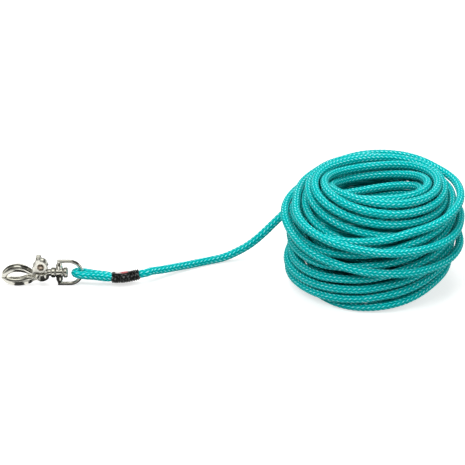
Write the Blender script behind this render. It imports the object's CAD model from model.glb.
import math
import random
import bmesh
import bpy
import numpy as np
from mathutils import Matrix, Vector


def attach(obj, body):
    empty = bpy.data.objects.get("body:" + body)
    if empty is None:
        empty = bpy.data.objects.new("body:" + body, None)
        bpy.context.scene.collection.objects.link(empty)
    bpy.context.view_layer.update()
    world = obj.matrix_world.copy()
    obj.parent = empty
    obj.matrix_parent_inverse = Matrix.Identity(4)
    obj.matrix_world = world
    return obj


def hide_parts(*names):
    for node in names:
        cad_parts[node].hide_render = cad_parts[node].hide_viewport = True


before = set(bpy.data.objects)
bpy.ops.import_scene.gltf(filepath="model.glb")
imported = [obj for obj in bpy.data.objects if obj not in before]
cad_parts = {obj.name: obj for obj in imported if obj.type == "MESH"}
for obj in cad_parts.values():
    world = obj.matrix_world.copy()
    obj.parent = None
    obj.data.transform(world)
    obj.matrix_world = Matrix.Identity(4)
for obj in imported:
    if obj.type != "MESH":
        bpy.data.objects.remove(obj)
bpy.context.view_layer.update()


# Stage
# A pale floor under three soft boxes, and a long lens that looks down on the rope
# from the front, as in the photograph.
MM = 0.001
look_down = math.radians(24)
aim = Vector((158.8, 0, 56.6)) * MM
away = Vector((0, -math.cos(look_down), math.sin(look_down)))
camera_far = 2.5
sensor_width = 36
picture_width = 465
picture_scale = 1.025
frame_width = picture_width / picture_scale * MM

camera_data = bpy.data.cameras.new("camera")
camera_data.sensor_width = sensor_width
camera_data.lens = sensor_width * camera_far / frame_width
camera = bpy.data.objects.new("camera", camera_data)
camera.location = aim + camera_far * away
camera.rotation_euler = away.to_track_quat("Z", "Y").to_euler()
bpy.context.scene.collection.objects.link(camera)
bpy.context.scene.camera = camera


def soft_box(name, place, size, watts):
    data = bpy.data.lights.new(name, "AREA")
    data.shape = "RECTANGLE"
    data.size, data.size_y = size
    data.energy = watts
    light = bpy.data.objects.new(name, data)
    light.location = place
    light.rotation_euler = (Vector(place) - aim).to_track_quat("Z", "Y").to_euler()
    light.visible_glossy = False
    bpy.context.scene.collection.objects.link(light)


soft_box("key_box", (-0.5, -1.0, 1.5), (1.1, 0.8), 24)
soft_box("top_box", (0.25, 0.35, 1.7), (1.4, 1.0), 24)
soft_box("side_box", (1.5, -0.6, 0.9), (0.9, 0.9), 8)


def new_material(name):
    material = bpy.data.materials.new(name)
    material.use_nodes = True
    return material, material.node_tree, material.node_tree.nodes["Principled BSDF"]


def node(tree, kind, **values):
    made = tree.nodes.new(kind)
    for key, value in values.items():
        if key in made.inputs:
            made.inputs[key].default_value = value
        else:
            setattr(made, key, value)
    return made


def axes(tree, coordinates):
    """The numbers of a set of coordinates, one by one."""
    made = node(tree, "ShaderNodeSeparateXYZ")
    tree.links.new(coordinates, made.inputs["Vector"])
    return made.outputs


def span(tree, value, start, end):
    """Nought before start, one after end."""
    made = node(tree, "ShaderNodeMapRange")
    made.inputs["From Min"].default_value = start
    made.inputs["From Max"].default_value = end
    tree.links.new(value, made.inputs["Value"])
    return made.outputs["Result"]


def ramp(tree, value, stops):
    """Colour ramp over a value, with stops of place and colour in order."""
    made = node(tree, "ShaderNodeValToRGB")
    for k, (at, colour) in enumerate(stops):
        if k > 1:
            made.color_ramp.elements.new(1)
        stop = made.color_ramp.elements[k]
        stop.position = at
        stop.color = (*colour, 1)
    tree.links.new(value, made.inputs["Fac"])
    return made.outputs["Color"]


def greys(tree, value, stops):
    """Grey ramp over any range of a value, with stops of place and brightness in order."""
    first, last = stops[0][0], stops[-1][0]
    return ramp(tree, span(tree, value, first, last),
                [((at - first) / (last - first), (grey, grey, 0.95 * grey)) for at, grey in stops])


def mixed(tree, factor, a, b, blend="MIX"):
    """Two colours mixed, each of them a constant or a socket."""
    made = node(tree, "ShaderNodeMix", data_type="RGBA", blend_type=blend)
    for key, value in (("Factor", factor), ("A", a), ("B", b)):
        if isinstance(value, (float, tuple)):
            made.inputs[key].default_value = value
        else:
            tree.links.new(value, made.inputs[key])
    return made.outputs["Result"]


# The room is dark near the floor and paler overhead. Polished metal sees a bright panel over the
# camera, dark ones at both sides and behind, and bright edges past them; the camera sees white.
world = bpy.data.worlds.new("room")
bpy.context.scene.world = world
world.use_nodes = True
sky = world.node_tree
dome = axes(sky, node(sky, "ShaderNodeTexCoord").outputs["Generated"])
overhead = greys(sky, dome["Z"], [(0, 0.02), (0.3, 0.02), (0.75, 0.4), (1, 0.4)])
to_back = greys(sky, dome["Y"], [
    (-1, 0.1), (-0.85, 0.12), (-0.66, 0.3), (-0.58, 1.2), (-0.1, 1.2), (0.05, 0.42), (0.3, 0.42),
    (0.5, 0.06), (0.84, 0.06), (0.89, 1.3), (0.94, 1.3), (1, 0.06)])
to_side = greys(sky, dome["X"], [
    (-1, 0.6), (-0.8, 0.6), (-0.75, 0.2), (-0.4, 0.2), (-0.3, 1), (0.2, 1), (0.3, 0.1), (0.8, 0.1),
    (0.85, 1.4), (1, 1.4)])
panels = mixed(sky, 1.0, to_back, to_side, "MULTIPLY")
seen = node(sky, "ShaderNodeLightPath").outputs
polished = mixed(sky, seen["Is Glossy Ray"], overhead, panels)
room_colour = mixed(sky, seen["Is Camera Ray"], polished, (1, 1, 1, 1))
sky.links.new(room_colour, sky.nodes["Background"].inputs["Color"])
bpy.context.scene.view_settings.view_transform = "Standard"

floor_half = 4
bm = bmesh.new()
bmesh.ops.create_grid(bm, x_segments=2, y_segments=2, size=floor_half)
floor_mesh = bpy.data.meshes.new("floor")
bm.to_mesh(floor_mesh)
bm.free()
floor = bpy.data.objects.new("floor", floor_mesh)
bpy.context.scene.collection.objects.link(floor)
paper, tree, bsdf = new_material("pale_paper")
grain = node(tree, "ShaderNodeTexNoise", Scale=40.0, Detail=4.0)
paper_colour = mixed(tree, grain.outputs["Fac"], (0.44, 0.44, 0.44, 1), (0.46, 0.46, 0.46, 1))
bsdf.inputs["Roughness"].default_value = 0.8
bsdf.inputs["Emission Strength"].default_value = 0.62

# Polished metal sees three rows of dark and white cards, laid on the floor under the hook and in
# front of it; the camera sees white paper.
where = axes(tree, node(tree, "ShaderNodeTexCoord").outputs["Object"])
near_cards = greys(tree, where["X"], [
    (-0.08, 1.6), (-0.057, 1.6), (-0.0555, 0.07), (-0.046, 0.07), (-0.045, 1.6), (-0.0415, 1.6),
    (-0.0405, 0.03), (-0.0365, 0.03), (-0.0355, 1.2), (-0.0335, 1.2), (-0.0325, 0.03),
    (0.015, 0.03), (0.017, 1.6)])
mid_cards = greys(tree, where["X"], [
    (-0.08, 1.6), (-0.06, 1.6), (-0.058, 0.05), (-0.048, 0.05), (-0.0465, 0.8), (-0.04, 0.8),
    (-0.038, 0.03), (-0.01, 0.03), (-0.007, 1.5), (0.002, 1.5), (0.005, 0.05), (0.012, 0.05),
    (0.015, 1.6)])
far_cards = greys(tree, where["X"], [
    (-0.08, 0.4), (-0.06, 0.4), (-0.058, 1.6), (-0.05, 1.6), (-0.048, 0.35), (-0.046, 0.35),
    (-0.044, 2.3), (-0.016, 2.3), (-0.014, 0.4), (0.03, 0.4)])
cards = mixed(tree, span(tree, where["Y"], -0.015, -0.011), mid_cards, near_cards)
cards = mixed(tree, span(tree, where["Y"], -0.042, -0.037), far_cards, cards)
seen = node(tree, "ShaderNodeLightPath").outputs
plain = mixed(tree, seen["Is Camera Ray"], (0.45, 0.45, 0.45, 1), (1.1, 1.1, 1.1, 1))
glow = mixed(tree, seen["Is Glossy Ray"], plain, cards)
tree.links.new(glow, bsdf.inputs["Emission Color"])
lit = mixed(tree, seen["Is Glossy Ray"], paper_colour, (0, 0, 0, 1))
tree.links.new(lit, bsdf.inputs["Base Color"])
floor_mesh.materials.append(paper)


# Rope
# One length of round braid in teal yarn, wound into a hank in one go: a hidden column of turns first,
# then up the hole, over the top, down the outside and back, and from the back of the coil to the hook.
rope_d = 8 * MM
rope_r = rope_d / 2
coil_h = 112 * MM
core_r = 55 * MM
core_w = 12.8 * MM
core_gap = 0.6 * MM
foot_h = 32 * MM
foot_gap = 6 * MM
floor_gap = 0.2 * MM
coil_x = 290 * MM
coil_y = 12 * MM
lean_right = 0.09
lean_back = 0.02
coil_rings = 24
coil_loops = 24
coil_exit = 112
coil_bulge = 4 * MM
lay = rope_d + 1.3 * MM
ease = 0.8 * MM
reach = 5
wind_w = core_w / 2 + rope_r + core_gap
wind_top = coil_h - rope_r - wind_w
wind_foot = foot_h + rope_d + foot_gap
wall_in = wind_top - wind_foot
wall_top = math.pi * wind_w
wind_end = wall_in + wall_top + wind_top - rope_r - floor_gap

# Turn, distance along the winding surface and tilt of the turn in millimetres, bearing of its low side
coil_passes = np.array([
    [-4, -41, 0, 300], [0, 0, 9, 300], [5, 48, 12, 300], [9, 88, 13, 300], [13, 141, 13, 300],
    [15, 169, 9, 295], [15.6, 164, 13, 235], [18, 138, 16, 225], [21.5, 95, 14, 230],
    [22.2, 98, 12, 290], [24, 134, 15, 305]])
last_ring = coil_rings * coil_loops
inner_rings = 4 * coil_rings
column_rings = 230
column_pitch = 8.2 * MM
column_r = core_r + 2.2 * MM


def bearing(i):
    return coil_exit + 360 * (i / coil_rings - coil_loops)


def along(i):
    turn = i / coil_rings
    middle, tilt, low = (np.interp(turn, coil_passes[:, 0], coil_passes[:, k]) for k in (1, 2, 3))
    return min((middle + tilt * math.cos(math.radians(bearing(i) - low))) * MM, wind_end)


# How far each place of a turn stands off the winding surface, over the turns laid before it
surface = {i: along(i) for i in range(-inner_rings, last_ring + 1)}
lift = {i: 0.0 for i in range(-inner_rings, 0)}


def stands_on(i):
    highest = 0.0
    for j in range(i - coil_rings, -1, -coil_rings):
        gap = abs(surface[i] - surface[j])
        if j in lift and gap < lay:
            highest = max(highest, lift[j] + math.sqrt(lay * lay - gap * gap))
    return highest


for i in range(last_ring + 1):
    nearby = [k for k in range(-reach, reach + 1) if 0 <= i + k <= last_ring]
    lift[i] = max(stands_on(i + k) - ease * k * k for k in nearby)


def wound(s, off):
    """Radius and height of a place on the winding surface, off it by a distance."""
    if s < wall_in:
        return core_r - wind_w - off, wind_foot + s
    if s < wall_in + wall_top:
        a = math.pi - (s - wall_in) / wind_w
        return core_r + (wind_w + off) * math.cos(a), wind_top + (wind_w + off) * math.sin(a)
    drop = s - wall_in - wall_top
    bulge = coil_bulge * math.sin(math.pi * drop / wind_top)
    return core_r + wind_w + off + bulge, wind_top - drop


def coil_place(r, z, a):
    a = math.radians(a)
    return (coil_x + r * math.cos(a) + lean_right * z, coil_y + r * math.sin(a) + lean_back * z, z)


def between(a, b, c, d, u):
    """Smooth curve from b to c, which a comes before and d comes after."""
    square = 2 * a - 5 * b + 4 * c - d
    cube = 3 * b - a - 3 * c + d
    return 0.5 * (2 * b + (c - a) * u + square * u * u + cube * u ** 3)


def finer(points, steps):
    """Points on a smooth curve through all the points, with so many steps from each to the next."""
    points = [np.asarray(p, float) for p in points]
    last = len(points) - 1
    out = [between(points[max(i - 1, 0)], points[i], points[i + 1], points[min(i + 2, last)], k / steps)
           for i in range(last) for k in range(steps)]
    return np.array(out + [points[last]])


# The hidden column comes down inside the coil, and its foot eases in to the wall of the hole
column_foot = -inner_rings - coil_rings // 2
column_z = wind_foot + surface[-inner_rings]
route = []
for i in range(column_foot - column_rings, column_foot, 2):
    climb = (column_foot - i) / coil_rings * column_pitch
    route.append(coil_place(column_r, column_z + climb, bearing(i)))
for i in range(column_foot, -inner_rings, 2):
    u = (i - column_foot) / (coil_rings / 2)
    inward = (column_r - core_r + wind_w) * (1 - math.cos(math.pi * u)) / 2
    route.append(coil_place(column_r - inward, column_z, bearing(i)))
hidden = len(route)
ring_steps = 3
laid = finer([(surface[i], lift[i]) for i in range(-inner_rings, last_ring + 1)], ring_steps)
for k, (s, off) in enumerate(laid):
    route.append(coil_place(*wound(s, off), bearing(-inner_rings + k / ring_steps)))

# Eye and binding are drawn as distance along the eye from the bow's bar, distance to the back, and height
bar_x = 10.2 * MM
axis_z = 13.7 * MM
eye_z = axis_z - 1.2 * MM
eye_tilt = math.radians(8)
eye_yaw = math.radians(1)
eye_roll = math.radians(10)
bind_x = 29.5 * MM
bind_l = 28 * MM
bind_end = bind_x + bind_l
short_end = bind_x + 14.5 * MM
bound_r = 3.1 * MM
leg_y = bound_r + 0.05 * MM
bend_x = 26 * MM
bend_l = bind_end - 3 * MM - bend_x
eye_bend = 6.2
tiny_x = 0.1 * MM


def eye_axis(x):
    u = max(x - bend_x, 0)
    v = min(u, bend_l)
    return Vector((bar_x + x * math.cos(eye_yaw), x * math.sin(eye_yaw),
                   eye_z - x * math.tan(eye_tilt) + eye_bend * v * (2 * u - v)))


def eye_place(x, y, z):
    ahead = (eye_axis(x + tiny_x) - eye_axis(x - tiny_x)).normalized()
    back = Vector((-math.sin(eye_yaw), math.cos(eye_yaw), 0))
    up = ahead.cross(back)
    return (eye_axis(x) + (back * math.cos(eye_roll) - up * math.sin(eye_roll)) * y
            + (up * math.cos(eye_roll) + back * math.sin(eye_roll)) * z)


# The lead carries on from the coil's last turn and comes down to the floor on its way to the binding
rope_exit = eye_place(bind_end, leg_y, 0)
past_exit = eye_place(bind_end + 6 * MM, leg_y, 0)
lead_points = np.array([
    [79, 9.8, 10.6], [85, 14, 9.5], [92, 19.5, 8.2], [100, 26, 6.9], [108, 32, 5.8], [116, 37.5, 4.9],
    [131, 46.5, 4.2], [146, 53, 4.6], [154, 55.8, 6.2], [162, 58.2, 9], [170, 60.4, 12.6],
    [178, 62.6, 17.2], [186, 65, 23.2], [194, 68, 30], [202, 71.5, 37], [210, 74.5, 43.8],
    [222, 79.5, 51], [236, 85, 56.5]]) * MM
lead_steps = 6
lead = finer([route[-8], route[-1], *lead_points[::-1], past_exit, rope_exit], lead_steps)[lead_steps:]
route = np.array(route + [tuple(p) for p in lead[1:]])


def spaced(points, stretches):
    """The route at even distances, with a step for each stretch of it."""
    steps = np.linalg.norm(np.diff(points[:, :3], axis=0), axis=1)
    far = np.concatenate([[0], np.cumsum(steps)])
    marks = [0.0]
    for end, step in stretches:
        count = max(1, round((far[end] - marks[-1]) / step))
        marks += list(np.linspace(marks[-1], far[end], count + 1)[1:])
    return np.array([np.interp(marks, far, column) for column in points.T]).T


columns = 8
stitch = 4.7 * MM
hidden_step = 16 * MM
weld = 1e-7
rope_path = spaced(route, [(hidden, hidden_step), (hidden + ring_steps * inner_rings, 2 * stitch),
                           (len(route) - 1, stitch / 2)])


def new_piece(bm, name):
    """Object with the finished mesh, smooth all over."""
    mesh = bpy.data.meshes.new(name)
    bm.to_mesh(mesh)
    bm.free()
    mesh.polygons.foreach_set("use_smooth", [True] * len(mesh.polygons))
    piece = bpy.data.objects.new(name, mesh)
    bpy.context.scene.collection.objects.link(piece)
    return piece


def rolled(bm, rings):
    """Sheet rolled up into a closed skin over a row of rings, its UV map once round by once along."""
    count, sides = len(rings), len(rings[0])
    if not bm.loops.layers.uv:
        bm.loops.layers.uv.new("braid")
    sheet = bmesh.ops.create_grid(bm, x_segments=sides, y_segments=count - 1, size=0.5,
                                  calc_uvs=True)["verts"]
    for v in sheet:
        v.co = rings[round((v.co.y + 0.5) * (count - 1))][round((v.co.x + 0.5) * sides) % sides]
    bmesh.ops.remove_doubles(bm, verts=sheet, dist=weld)
    bmesh.ops.holes_fill(bm, edges=[e for e in bm.edges if e.is_boundary])
    bmesh.ops.recalc_face_normals(bm, faces=bm.faces)


def tube_rings(path, radius, sides, bump=None, tall=None):
    """Rings round a path, carried along it without twist; tall is each ring's height over its width."""
    heads = np.gradient(path, axis=0)
    heads /= np.linalg.norm(heads, axis=1)[:, None]
    side = np.cross((0, 0, 1), heads[0])
    turn = 2 * math.pi * np.arange(sides) / sides
    rings = np.empty((len(path), sides, 3))
    for i, head in enumerate(heads):
        side = side - head * side.dot(head)
        side /= np.linalg.norm(side)
        wide = radius[i] * (1 if bump is None else bump[i % len(bump)])
        high = wide if tall is None else wide * tall[i]
        rings[i] = (path[i] + np.outer(wide * np.cos(turn), side)
                    + np.outer(high * np.sin(turn), np.cross(head, side)))
    return rings


def braided_tube(name, path, radius, tall=None):
    """Rope with a ridge for each column of stitches, a swelling for each stitch, and a UV map of both."""
    groove, crest, dip = 0.955, 1.045, 0.975
    k = np.arange(2 * columns)
    bump = [np.where(k % 2 == 1, groove, np.where((i + k // 2) % 2 == 1, crest, dip)) for i in (0, 1)]
    bm = bmesh.new()
    rolled(bm, tube_rings(path, radius, 2 * columns, bump, tall))
    piece = new_piece(bm, name)
    uv = np.empty(2 * len(piece.data.loops))
    piece.data.uv_layers["braid"].data.foreach_get("uv", uv)
    uv = uv.reshape(-1, 2) * (columns, (len(path) - 1) / 2)
    piece.data.uv_layers["braid"].data.foreach_set("uv", uv.ravel())
    return piece


def maths(tree, operation, *values):
    made = tree.nodes.new("ShaderNodeMath")
    made.operation = operation
    for k, value in enumerate(values):
        if isinstance(value, (int, float)):
            made.inputs[k].default_value = value
        else:
            tree.links.new(value, made.inputs[k])
    return made.outputs["Value"]


def noise(tree, scale, detail):
    """Noise on the piece's own coordinates."""
    made = node(tree, "ShaderNodeTexNoise", Scale=scale, Detail=detail)
    where = node(tree, "ShaderNodeTexCoord")
    tree.links.new(where.outputs["Object"], made.inputs["Vector"])
    return made.outputs["Fac"]


def raised(tree, bsdf, height, strength, depth):
    """Fine relief on a material."""
    made = node(tree, "ShaderNodeBump", Strength=strength, Distance=depth)
    tree.links.new(height, made.inputs["Height"])
    tree.links.new(made.outputs["Normal"], bsdf.inputs["Normal"])


rope = braided_tube("rope", rope_path, np.full(len(rope_path), rope_r))

# Teal yarn: columns of slanted stitches that lean left and right by turns, with a dark seam round each
teal_yarn, tree, bsdf = new_material("teal_yarn")
place = axes(tree, node(tree, "ShaderNodeUVMap", uv_map="braid").outputs["UV"])
around = maths(tree, "ADD", place["X"], 0.5)
across = maths(tree, "SUBTRACT", maths(tree, "FRACT", around), 0.5)
odd = maths(tree, "MODULO", maths(tree, "FLOOR", around), 2.0)
lean = maths(tree, "SUBTRACT", maths(tree, "MULTIPLY", odd, 2.0), 1.0)
slanted = maths(tree, "ADD", place["Y"], maths(tree, "MULTIPLY", across, lean))
phase = maths(tree, "ADD", slanted, maths(tree, "MULTIPLY", odd, 0.5))
from_middle = maths(tree, "ABSOLUTE", maths(tree, "SUBTRACT", maths(tree, "FRACT", phase), 0.5))
from_middle = maths(tree, "POWER", maths(tree, "MULTIPLY", from_middle, 2.0), 2.2)
from_ridge = maths(tree, "MULTIPLY", maths(tree, "ABSOLUTE", across), 2.0)
from_ridge = maths(tree, "POWER", from_ridge, 3.0)
height = maths(tree, "MULTIPLY", maths(tree, "SUBTRACT", 1.0, from_middle),
               maths(tree, "SUBTRACT", 1.0, from_ridge))
fibre_at = node(tree, "ShaderNodeCombineXYZ")
tree.links.new(maths(tree, "MULTIPLY", phase, 9.0), fibre_at.inputs["X"])
tree.links.new(maths(tree, "MULTIPLY", around, 1.2), fibre_at.inputs["Y"])
fibre = node(tree, "ShaderNodeTexNoise", Scale=1.0, Detail=2.0)
tree.links.new(fibre_at.outputs["Vector"], fibre.inputs["Vector"])
fibres = maths(tree, "MULTIPLY", fibre.outputs["Fac"], 0.3)
uneven = maths(tree, "MULTIPLY", noise(tree, 60.0, 3.0), 0.12)
shade = maths(tree, "ADD", maths(tree, "MULTIPLY", height, 0.72), maths(tree, "ADD", fibres, uneven))
yarn_colour = ramp(tree, shade, [(0.1, (0, 0.05, 0.052)), (0.42, (0, 0.39, 0.39)),
                                 (0.86, (0.002, 0.58, 0.58)), (0.99, (0.6, 0.76, 0.8))])
tree.links.new(yarn_colour, bsdf.inputs["Base Color"])
raised(tree, bsdf, maths(tree, "ADD", height, fibres), 0.8, 0.0006)
bsdf.inputs["Roughness"].default_value = 0.5
bsdf.inputs["Specular IOR Level"].default_value = 0.05
rope.data.materials.append(teal_yarn)

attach(rope, "rope")
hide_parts("rope_lead", "rope_core", "rope_coil")


# Rope eye
# The rope's end, pulled tight round the bow's bar and laid back along the rope, so that both legs run
# into the binding. It is the same braid, drawn a little thinner and pressed flat from the bar on.
tight_r = 3.55 * MM
eye_r = 6.4 * MM
eye_press = 1.1
eye_leg = np.array([[30, 3.25, 0, 3.2], [24, 3.6, 0, 3.5], [15, 3.8, 0, 3.55], [6, 5.95, 0, 3.55]]) * MM
short_leg = np.array([[short_end, -leg_y, 0, bound_r]])
round_bar = np.array([[eye_r * math.cos(a), eye_r * math.sin(a), 0, tight_r]
                      for a in np.radians(np.arange(-90, -271, -22.5))])
bound_x = (bind_x + 9 * MM, bind_x + 18 * MM, bind_end - 2 * MM, bind_end)
long_leg = np.array([[x, leg_y, 0, bound_r] for x in bound_x])
eye_flat = np.concatenate([short_leg, eye_leg * (1, -1, 1, 1), round_bar, eye_leg[::-1], long_leg])
eye_flat = finer(eye_flat, lead_steps)
pressed_x = np.array([6, 24, 28.5, 31]) * MM
pressed = np.interp(eye_flat[:, 0], pressed_x, [eye_press, 1.25, 1.2, 1])
eye_route = np.array([[*eye_place(*p[:3]), p[3], tall] for p, tall in zip(eye_flat, pressed)])
eye_route = spaced(eye_route, [(len(eye_route) - 1, stitch / 2)])
rope_eye = braided_tube("eye", eye_route[:, :3], eye_route[:, 3], eye_route[:, 4])
rope_eye.data.materials.append(teal_yarn)
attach(rope_eye, "rope")
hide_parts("rope_eye")


# Binding sleeve
# Black sleeve drawn over both legs of the eye. It closes on the long leg past the end of the short one,
# and its two lips are turned in.
sleeve_t = 0.5 * MM
sleeve_r = bound_r + sleeve_t
sleeve_sides = 48
sleeve_rows = 40
lip_l = 0.4 * MM


def one_leg(x):
    """Nought where the sleeve holds two legs, one where it holds the long leg alone."""
    return np.interp(x, [short_end, short_end + 4 * MM, short_end + 9 * MM], [0, 0.4, 1])


def sleeve_edge(x, a, off):
    y = leg_y * (one_leg(x) + (1 - one_leg(x)) * np.sign(round(math.cos(a), 6)))
    return eye_place(x, y + (sleeve_r + off) * math.cos(a), (sleeve_r + off) * math.sin(a))


sleeve_x = np.linspace(bind_x + lip_l, bind_end - lip_l, sleeve_rows)
sleeve_x = [bind_x, bind_x, *sleeve_x, bind_end, bind_end]
sleeve_off = [-sleeve_t, -sleeve_t / 2] + [0.0] * sleeve_rows + [-sleeve_t / 2, -sleeve_t]
bm = bmesh.new()
rolled(bm, [[sleeve_edge(x, 2 * math.pi * (k + 0.5) / sleeve_sides, off) for k in range(sleeve_sides)]
            for x, off in zip(sleeve_x, sleeve_off)])
sleeve = new_piece(bm, "sleeve")
black_sleeve, tree, bsdf = new_material("black_sleeve")
rub = noise(tree, 900.0, 5.0)
rub_colour = ramp(tree, rub, [(0, (0.004, 0.004, 0.005)), (1, (0.022, 0.022, 0.024))])
tree.links.new(rub_colour, bsdf.inputs["Base Color"])
raised(tree, bsdf, rub, 0.4, 0.0002)
bsdf.inputs["Roughness"].default_value = 0.42
sleeve.data.materials.append(black_sleeve)
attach(sleeve, "rope")
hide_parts("binding_sleeve")


# Whipping
# Waxed black thread wound by hand over the sleeve, close but uneven, from the eye to the far end and
# then a few turns back on top of itself, where its end is tucked in.
thread_d = 0.94 * MM
thread_sides = 8
thread_turns = 27
thread_back = 5
turn_steps = 24
rise = (bind_l - 2 * thread_d) / thread_turns
back_rise = 2 * MM
layer_h = 0.6 * MM
tuck_turns = 0.3
tuck_slope = 3 * MM
top_turn = 0.25
tab_half_turn = 0.16
tab_far_x = bind_x + 18 * MM
flat_knob = 0.1 * MM
knob_rows = 13
knob_places = 7
stray = 0.25
hand = random.Random(7)
uneven_x = [hand.uniform(-stray, stray) * MM for _ in range(2 * (thread_turns + thread_back) + 4)]
knobs = np.array([[hand.uniform(-0.1, 0.55) for _ in range(knob_places)] for _ in range(knob_rows)]) * MM


def knob(x, turn):
    """How far a lump of wax and crossed thread lifts the winding at one place."""
    row_at = np.clip((x - bind_x) / bind_l, 0, 1) * (knob_rows - 1)
    place_at = turn % 1 * knob_places
    i, k = min(int(row_at), knob_rows - 2), int(place_at)
    row = knobs[i] * (1 - (row_at - i)) + knobs[i + 1] * (row_at - i)
    here, beyond = row[k % knob_places], row[(k + 1) % knob_places]
    return here * (1 - (place_at - k)) + beyond * (place_at - k)


thread_path = []
for i in range((thread_turns + thread_back) * turn_steps + 1):
    turn = i / turn_steps
    back = max(turn - thread_turns, 0)
    x = bind_x + thread_d + rise * min(turn, thread_turns) - back * back_rise
    x += np.interp(2 * turn, range(len(uneven_x)), uneven_x)
    under_tab = abs(turn % 1 - top_turn) < tab_half_turn and x < tab_far_x
    lump = min(knob(x, turn), flat_knob) if under_tab else knob(x, turn)
    off = layer_h + min(back * 3, 1) * layer_h + lump
    off -= max(0, back - thread_back + tuck_turns) * tuck_slope
    thread_path.append(sleeve_edge(min(x, bind_end - thread_d / 2), 2 * math.pi * turn, off))
thread_path = finer(thread_path, 2)
bm = bmesh.new()
rolled(bm, tube_rings(thread_path, np.full(len(thread_path), thread_d / 2), thread_sides))
thread = new_piece(bm, "thread")
waxed_thread, tree, bsdf = new_material("waxed_thread")
place = axes(tree, node(tree, "ShaderNodeUVMap", uv_map="braid").outputs["UV"])
twist = maths(tree, "ADD", maths(tree, "MULTIPLY", place["X"], 2.0),
              maths(tree, "MULTIPLY", place["Y"], 900.0))
strand = maths(tree, "ABSOLUTE", maths(tree, "SINE", maths(tree, "MULTIPLY", twist, math.pi)))
wax = noise(tree, 450.0, 4.0)
scuffed = maths(tree, "ADD", 0.8, maths(tree, "MULTIPLY", strand, 0.3))
wax_colour = ramp(tree, maths(tree, "MULTIPLY", wax, scuffed),
                  [(0.56, (0.003, 0.003, 0.003)), (0.68, (0.2, 0.21, 0.21))])
tree.links.new(wax_colour, bsdf.inputs["Base Color"])
wax_rough = node(tree, "ShaderNodeMapRange")
wax_rough.inputs["To Min"].default_value = 0.16
wax_rough.inputs["To Max"].default_value = 0.5
tree.links.new(wax, wax_rough.inputs["Value"])
tree.links.new(wax_rough.outputs["Result"], bsdf.inputs["Roughness"])
raised(tree, bsdf, strand, 0.7, 0.00012)
bsdf.inputs["Specular IOR Level"].default_value = 0.25
thread.data.materials.append(waxed_thread)
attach(thread, "rope")
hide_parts("whipping_thread")


# Tab
# Small woven tab sewn to the top of the binding, plain, pale at its left end and coral beyond.
# It is a strip of thin ribbon, so it follows the thread under it and lifts a little at one corner.
tab_x = bind_x + 3.6 * MM
tab_l = 13 * MM
tab_w = 5.8 * MM
tab_y = -2.4 * MM
tab_z = 4.85 * MM
tab_t = 0.42 * MM
thread_gap = 0.1 * MM
ripple_h = 0.16 * MM
corner_h = 4.4 * MM
bm = bmesh.new()
bm.loops.layers.uv.new("weave")
bmesh.ops.create_grid(bm, x_segments=26, y_segments=12, size=0.5, calc_uvs=True)
for v in bm.verts:
    u, w = v.co.x + 0.5, v.co.y + 0.5
    ripple = ripple_h * math.sin(7 * u + 1) * math.sin(2.5 * w)
    corner = corner_h * max(0, u - 0.72) * max(0, 0.4 - w)
    v.co = (tab_x + tab_l * u, tab_y + tab_w * w, tab_z + thread_gap + ripple + corner)
bmesh.ops.recalc_face_normals(bm, faces=bm.faces)
bmesh.ops.solidify(bm, geom=bm.faces[:], thickness=tab_t)
for v in bm.verts:
    v.co = eye_place(*v.co)
bmesh.ops.recalc_face_normals(bm, faces=bm.faces)
tab = new_piece(bm, "tab")
ribbon, tree, bsdf = new_material("ribbon")
place = axes(tree, node(tree, "ShaderNodeUVMap", uv_map="weave").outputs["UV"])
warp = maths(tree, "SINE", maths(tree, "MULTIPLY", place["X"], 220.0))
weft = maths(tree, "SINE", maths(tree, "MULTIPLY", place["Y"], 100.0))
cloth = maths(tree, "MULTIPLY", warp, weft)
blur = maths(tree, "MULTIPLY", maths(tree, "SUBTRACT", noise(tree, 400.0, 4.0), 0.5), 0.25)
dye = ramp(tree, maths(tree, "ADD", place["X"], blur),
           [(0.3, (0.78, 0.72, 0.72)), (0.52, (0.5, 0.075, 0.085))])
cloth_tone = node(tree, "ShaderNodeMapRange")
cloth_tone.inputs["From Min"].default_value = -1
cloth_tone.inputs["To Min"].default_value = 0.55
tree.links.new(cloth, cloth_tone.inputs["Value"])
cloth_colour = mixed(tree, 0.45, dye, cloth_tone.outputs["Result"], "MULTIPLY")
tree.links.new(cloth_colour, bsdf.inputs["Base Color"])
raised(tree, bsdf, cloth, 0.5, 0.0001)
bsdf.inputs["Roughness"].default_value = 0.72
bsdf.inputs["Sheen Weight"].default_value = 0.3
tab.data.materials.append(ribbon)
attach(tab, "rope")
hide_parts("binding_tab")


# Bow
# D-shaped bow of round bar, its crossbar swollen round the swivel boss. Cast in one, tumbled and
# nickel plated, with soft fillets where the bars meet and the square ends of the legs left on.
bow_r = 11.9 * MM
bar_r = 1.8 * MM
arc_x = bar_x + 0.4 * MM - bow_r
crossbar_x = -11.25 * MM
leg_x = crossbar_x - bar_r
swell_r = 3.25 * MM
swell_h = 7.9 * MM
swell_end = 10.5 * MM
boss_x = -14.9 * MM
boss_l = 7.3 * MM
boss_r = 5 * MM
rim = 0.8 * MM
turned_sides = 64
voxel = 0.25 * MM
softening = 8


def turned(bm, profile, place, axis):
    """Solid turned about a line through place: profile is distance along the axis and radius."""
    axis = Vector(axis)
    out = axis.orthogonal().normalized()
    row = [bm.verts.new(Vector(place) + axis * s + out * r) for s, r in profile]
    edges = [bm.edges.new(pair) for pair in zip(row, row[1:])]
    before = set(bm.verts) - set(row)
    bmesh.ops.spin(bm, geom=row + edges, cent=place, axis=axis, angle=2 * math.pi, steps=turned_sides,
                   use_merge=True)
    bmesh.ops.remove_doubles(bm, verts=[v for v in bm.verts if v not in before], dist=weld)


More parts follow.
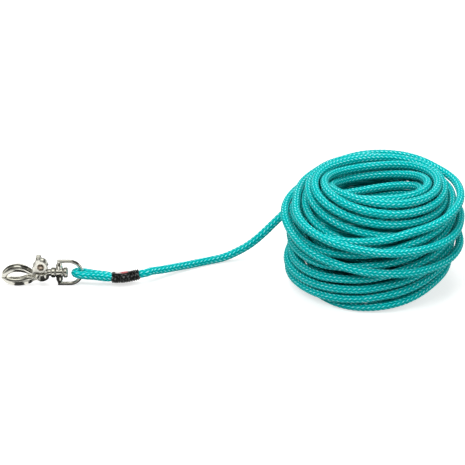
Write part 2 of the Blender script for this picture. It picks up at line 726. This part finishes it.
def rounded_disc(radius, start, end, f):
    """Profile of a disc from start to end along its axis, its rims rounded by f."""
    turns = np.radians(np.linspace(0, 90, 7))
    return ([(start, 0)] + [(start + f - f * math.cos(a), radius - f + f * math.sin(a)) for a in turns]
            + [(end - f + f * math.sin(a), radius - f + f * math.cos(a)) for a in turns] + [(end, 0)])


def plain_disc(radius, start, end):
    return [(start, 0), (start, radius), (end, radius), (end, 0)]


def only(geometry, kind):
    return [part for part in geometry if isinstance(part, kind)]


def cast(bm, name):
    """One casting from overlapping shapes, with soft fillets where they meet."""
    bmesh.ops.recalc_face_normals(bm, faces=bm.faces)
    rough = new_piece(bm, name + "_rough")
    remesh = rough.modifiers.new("remesh", "REMESH")
    remesh.mode = "VOXEL"
    remesh.voxel_size = voxel
    whole = bmesh.new()
    whole.from_mesh(rough.evaluated_get(bpy.context.evaluated_depsgraph_get()).to_mesh())
    bpy.data.objects.remove(rough)
    for _ in range(softening):
        bmesh.ops.smooth_vert(whole, verts=whole.verts, factor=0.5, use_axis_x=True, use_axis_y=True,
                              use_axis_z=True)
    return new_piece(whole, name)


bm = bmesh.new()
bar_place = Matrix.Translation((arc_x, 0, axis_z + bow_r)) @ Matrix.Rotation(math.pi / 2, 4, "Y")
bar_end = bmesh.ops.create_circle(bm, segments=32, radius=bar_r, matrix=bar_place)["verts"]
bar_edges = bm.edges[:]
far_end = bmesh.ops.spin(bm, geom=bar_end + bar_edges, cent=(arc_x, 0, axis_z), axis=(0, 1, 0),
                         angle=math.pi, steps=48)["geom_last"]
for ends in (bar_edges, only(far_end, bmesh.types.BMEdge)):
    leg = bmesh.ops.extrude_edge_only(bm, edges=ends)["geom"]
    bmesh.ops.translate(bm, verts=only(leg, bmesh.types.BMVert), vec=(leg_x - arc_x, 0, 0))
bmesh.ops.holes_fill(bm, edges=[e for e in bm.edges if e.is_boundary])
crossbar = [(-bow_r, 0), (-bow_r, bar_r), (-swell_end, bar_r), (-swell_h, swell_r), (swell_h, swell_r),
            (swell_end, bar_r), (bow_r, bar_r), (bow_r, 0)]
turned(bm, crossbar, (crossbar_x, 0, axis_z), (0, 0, 1))
turned(bm, rounded_disc(boss_r, 0, boss_l, rim), (boss_x, 0, axis_z), (1, 0, 0))
bow = cast(bm, "swivel_bow")

# Bright plate over a casting: a little waviness, fine rubbing marks and a faint warm tint
polish = bpy.data.node_groups.new("polish", "ShaderNodeTree")
for way, socket, kind in (("INPUT", "Metal", "Color"), ("INPUT", "Wave", "Float"),
                          ("INPUT", "Rubbed", "Float"), ("OUTPUT", "Tint", "Color"),
                          ("OUTPUT", "Roughness", "Float"), ("OUTPUT", "Height", "Float")):
    polish.interface.new_socket(socket, in_out=way, socket_type="NodeSocket" + kind)
asked = polish.nodes.new("NodeGroupInput").outputs
given = polish.nodes.new("NodeGroupOutput").inputs
waves = maths(polish, "MULTIPLY", noise(polish, 170.0, 1.0), asked["Wave"])
rubs = maths(polish, "MULTIPLY", noise(polish, 1400.0, 6.0), 0.02)
polish.links.new(maths(polish, "ADD", waves, rubs), given["Height"])
dull = noise(polish, 320.0, 4.0)
rubbed = maths(polish, "MULTIPLY", maths(polish, "POWER", dull, 2.0), asked["Rubbed"])
polish.links.new(maths(polish, "ADD", 0.05, rubbed), given["Roughness"])
plate = mixed(polish, dull, (0.82, 0.81, 0.75, 1), (1, 1, 0.97, 1))
polish.links.new(mixed(polish, 1.0, asked["Metal"], plate, "MULTIPLY"), given["Tint"])


def bright_metal(name, metal, wave, rubbed, depth):
    material, tree, bsdf = new_material(name)
    plated = node(tree, "ShaderNodeGroup", node_tree=polish)
    plated.inputs["Metal"].default_value = (*metal, 1)
    plated.inputs["Wave"].default_value = wave
    plated.inputs["Rubbed"].default_value = rubbed
    tree.links.new(plated.outputs["Tint"], bsdf.inputs["Base Color"])
    tree.links.new(plated.outputs["Roughness"], bsdf.inputs["Roughness"])
    raised(tree, bsdf, plated.outputs["Height"], 1.0, depth)
    bsdf.inputs["Metallic"].default_value = 1
    return material, tree, bsdf, plated


nickel = (0.9, 0.89, 0.88)
bright_nickel = bright_metal("bright_nickel", nickel, 1.0, 0.2, 0.00015)[0]
bow.data.materials.append(bright_nickel)
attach(bow, "bow")
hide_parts("bow")


# Swivel pin
# Turned steel pin through the boss, pressed into the hook's collar at its left end.
# Its round button head runs on the boss inside the bow and keeps the two together.
pin_x = -20.1 * MM
pin_start = 0.7 * MM
pin_r = 2.2 * MM
head_start = 12.8 * MM
head_end = 17 * MM
head_r = 5.1 * MM
head_rim = 1.4 * MM
bm = bmesh.new()
shank = [(pin_start, 0), (pin_start, pin_r), (head_start, pin_r)]
head = rounded_disc(head_r, head_start, head_end, head_rim)
turned(bm, shank + head[1:], (pin_x, 0, axis_z), (1, 0, 0))
bmesh.ops.recalc_face_normals(bm, faces=bm.faces)
pin = new_piece(bm, "pin")
turned_steel = bright_metal("turned_steel", nickel, 0.3, 0.6, 0.0002)[0]
pin.data.materials.append(turned_steel)
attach(pin, "hook")
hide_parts("swivel_pin")


# Hook body
# One nickel-plated casting: the lower jaw, the upright barrel with its ledge, the web that the rivet
# goes through, the neck and the collar that the swivel pin is pressed into.
pivot_x = -29.2 * MM
pivot_z = 21.2 * MM
hub_r = 6.5 * MM
web_t = 5.2 * MM
pocket_r = 4 * MM
web_foot = (-28.7 * MM, 0, 14.4 * MM)
web_foot_l = 10 * MM
web_foot_h = 4.4 * MM
barrel_x = -28.5 * MM
barrel_r = 6.9 * MM
barrel_top = 14.2 * MM
bowl_r = 9 * MM
bowl_z = 4.7 * MM
ledge_r = 7.2 * MM
ledge_z = 9.2 * MM
neck_r = 3.5 * MM
neck_start = -23.3 * MM
neck_end = -18 * MM
collar_r = 5.1 * MM
collar_start = -19.3 * MM
collar_end = -15.1 * MM
tip_x = -57 * MM
lower_tip_z = 9 * MM
fixed_jaw = np.array([
    [-30, 9, 3, 3.6], [-36.8, 8, 2.9, 3.7], [-41, 7, 4.6, 4.1], [-46, 5.5, 4.6, 4.4],
    [-51.5, 4.5, 4.4, 4.5], [-57.5, 4.7, 4.1, 4.3], [-62.5, 6.3, 3.6, 3.8], [-65.4, 8.9, 3, 3.2],
    [-66, 11.5, 2.6, 2.8]]) * MM


def arm_rings(stations):
    """Rings of a cast arm in the plane of the hook: x, z, half height and half width."""
    sides, squareness = 40, 0.86
    rows = finer(stations, 8)
    heads = np.gradient(rows[:, :2], axis=0)
    heads /= np.linalg.norm(heads, axis=1)[:, None]
    turn = 2 * math.pi * np.arange(sides) / sides
    high, wide = (np.sign(f) * np.abs(f) ** squareness for f in (np.cos(turn), np.sin(turn)))
    return [[(x - hz * h * c, w * s, z + hx * h * c) for c, s in zip(high, wide)]
            for (x, z, h, w), (hx, hz) in zip(rows, heads)]


def cut_tip(bm, z, up):
    """Flat face at the end of a jaw, where the two tips meet."""
    tip = [f for f in bm.faces if f.calc_center_median().x < tip_x]
    tip = set(tip) | {e for f in tip for e in f.edges} | {v for f in tip for v in f.verts}
    cut = bmesh.ops.bisect_plane(bm, geom=list(tip), plane_co=(0, 0, z), plane_no=(0, 0, up),
                                 clear_outer=True)["geom_cut"]
    bmesh.ops.edgeloop_fill(bm, edges=only(cut, bmesh.types.BMEdge))


bm = bmesh.new()
rolled(bm, arm_rings(fixed_jaw))
cut_tip(bm, lower_tip_z, 1)
bowl = [(bowl_z + bowl_r * (1 - math.cos(a)), bowl_r * math.sin(a))
        for a in np.linspace(0, math.asin(barrel_r / bowl_r), 10)]
barrel = [(ledge_z, barrel_r), (ledge_z, ledge_r), (barrel_top, ledge_r), (barrel_top, 0)]
turned(bm, bowl + barrel, (barrel_x, 0, 0), (0, 0, 1))
web = [(-web_t / 2, 0), (-web_t / 2, hub_r), (web_t / 2, hub_r), (web_t / 2, pocket_r), (0, pocket_r),
       (0, 0)]
turned(bm, web, (pivot_x, 0, pivot_z), (0, 1, 0))
bmesh.ops.create_cube(bm, size=1, matrix=Matrix.Translation(web_foot)
                      @ Matrix.Diagonal((web_foot_l, web_t, web_foot_h, 1)))
turned(bm, plain_disc(neck_r, neck_start, neck_end), (0, 0, axis_z), (1, 0, 0))
turned(bm, rounded_disc(collar_r, collar_start, collar_end, rim), (0, 0, axis_z), (1, 0, 0))
hook = cast(bm, "snap_body")
hook.data.materials.append(bright_nickel)
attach(hook, "hook")
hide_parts("hook_body")


# Jaw lever
# The moving jaw, cast in one with the two cheeks that straddle the web and the thumb tab on top, and
# nickel plated. The cheeks turn on the rivet, and the tip closes on the lower jaw's tip. Thumbs have
# dulled the cheeks and the tab.
cheek_in = 2.9 * MM
cheek_out = 4.9 * MM
cheek_half = 1 * MM
hub_gap = 0.4 * MM
slot_x = pivot_x + 5 * MM
slot_z = 20 * MM
slot_l = 20 * MM
slot_h = 40 * MM
room_r = 7.6 * MM
room_top = 14.6 * MM
upper_tip_z = 9.35 * MM
pad_r = 1.7 * MM
pad_x = (-3.2 * MM, -1.4 * MM)
pad_y = 3.4 * MM
pad_z = 8.2 * MM
bright_x = -38 * MM
dull_x = -35 * MM
moving_jaw = np.array([
    [-31.5, 17.2, 2, 4.7], [-34.6, 15, 1.9, 4.6], [-37.2, 13.6, 1.9, 4.4], [-41, 15.4, 2.8, 4.3],
    [-46, 17.6, 3.6, 4.4], [-52, 18.8, 4.05, 4.4], [-58.5, 17.6, 3.85, 4.2], [-63.6, 14.2, 3.3, 3.7],
    [-65.6, 10.8, 2.75, 3.1], [-65.2, 7.6, 2.3, 2.7]]) * MM
cheek = np.array([[-8.2, -6.4], [-8.4, -0.6], [-5.6, 3.6], [-4.6, 8.2], [-0.2, 8.2], [1, 4.6],
                  [7.4, -0.6], [5.6, -3]]) * MM


def cut_away(bm, cutter):
    """Take the cutter's shape out of a closed shape."""
    bmesh.ops.recalc_face_normals(bm, faces=bm.faces)
    bmesh.ops.recalc_face_normals(cutter, faces=cutter.faces)
    solid = new_piece(bm, "solid")
    room = new_piece(cutter, "room")
    boolean = solid.modifiers.new("cut", "BOOLEAN")
    boolean.object = room
    boolean.operation = "DIFFERENCE"
    left = bmesh.new()
    left.from_mesh(solid.evaluated_get(bpy.context.evaluated_depsgraph_get()).to_mesh())
    bpy.data.objects.remove(solid)
    bpy.data.objects.remove(room)
    return left


def hub_room():
    room = bmesh.new()
    turned(room, plain_disc(hub_r + hub_gap, -cheek_in, cheek_in), (pivot_x, 0, pivot_z), (0, 1, 0))
    return room


bm = bmesh.new()
rolled(bm, arm_rings(moving_jaw))
cut_tip(bm, upper_tip_z, -1)
bm = cut_away(bm, hub_room())
slot_room = bmesh.new()
bmesh.ops.create_cube(slot_room, size=1, matrix=Matrix.Translation((slot_x, 0, slot_z))
                      @ Matrix.Diagonal((slot_l, 2 * cheek_in, slot_h, 1)))
bm = cut_away(bm, slot_room)
barrel_room = bmesh.new()
turned(barrel_room, plain_disc(room_r, 0, room_top), (barrel_x, 0, 0), (0, 0, 1))
bm = cut_away(bm, barrel_room)
pad = bmesh.new()
for x in pad_x:
    for y in (-pad_y, pad_y):
        bmesh.ops.create_uvsphere(pad, u_segments=24, v_segments=16, radius=pad_r,
                                  matrix=Matrix.Translation((pivot_x + x, y, pivot_z + pad_z)))
hull = bmesh.ops.convex_hull(pad, input=pad.verts)
bmesh.ops.delete(pad, geom=hull["geom_interior"], context="VERTS")
pad = cut_away(pad, hub_room())
pad_mesh = bpy.data.meshes.new("pad")
pad.to_mesh(pad_mesh)
pad.free()
bm.from_mesh(pad_mesh)
for side in (-1, 1):
    middle = side * (cheek_in + cheek_out) / 2
    turned(bm, plain_disc(hub_r, -cheek_half, cheek_half), (pivot_x, middle, pivot_z), (0, 1, 0))
    outline = [bm.verts.new((pivot_x + x, middle - cheek_half, pivot_z + z)) for x, z in cheek]
    face = bm.faces.new(outline)
    thick = bmesh.ops.extrude_face_region(bm, geom=[face], use_keep_orig=True)["geom"]
    bmesh.ops.translate(bm, verts=only(thick, bmesh.types.BMVert), vec=(0, 2 * cheek_half, 0))
lever = cast(bm, "snap_lever")
thumbed_nickel, tree, bsdf, plated = bright_metal("thumbed_nickel", nickel, 1.0, 0.2, 0.00015)
where = axes(tree, node(tree, "ShaderNodeTexCoord").outputs["Object"])
thumbed = maths(tree, "MULTIPLY", span(tree, where["X"], bright_x, dull_x), 0.18)
tree.links.new(maths(tree, "ADD", plated.outputs["Roughness"], thumbed), bsdf.inputs["Roughness"])
lever.data.materials.append(thumbed_nickel)
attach(lever, "jaw")
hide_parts("jaw_lever")


# Jaw rivet
# Steel rivet through both cheeks and the web, which the moving jaw turns on.
# Its two ends are set into low domes on the cheeks, and are browner than the plate.
rivet_r = 1.6 * MM
rivet_half = 5 * MM
dome_r = 3.6 * MM
dome_h = 1.3 * MM
bm = bmesh.new()
domed = [(rivet_half + dome_h * math.cos(a), dome_r * math.sin(a))
         for a in np.radians(np.linspace(90, 0, 9))]
turned(bm, [(-s, r) for s, r in domed[::-1]] + [(-rivet_half, rivet_r), (rivet_half, rivet_r)] + domed,
       (pivot_x, 0, pivot_z), (0, 1, 0))
bmesh.ops.recalc_face_normals(bm, faces=bm.faces)
rivet = new_piece(bm, "rivet")
rivet_steel = bright_metal("rivet_steel", (0.6, 0.49, 0.42), 0.6, 0.6, 0.0003)[0]
rivet.data.materials.append(rivet_steel)
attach(rivet, "hook")
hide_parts("jaw_rivet")


# Jaw spring
# Torsion spring of steel wire round the rivet, hidden in the web's pocket.
# The solid already has its final shape, so it only gets its wire's look.
spring_wire = bright_metal("spring_wire", (0.8, 0.79, 0.77), 0.2, 0.9, 0.0001)[0]
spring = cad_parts["jaw_spring"]
spring.data.materials.clear()
spring.data.materials.append(spring_wire)
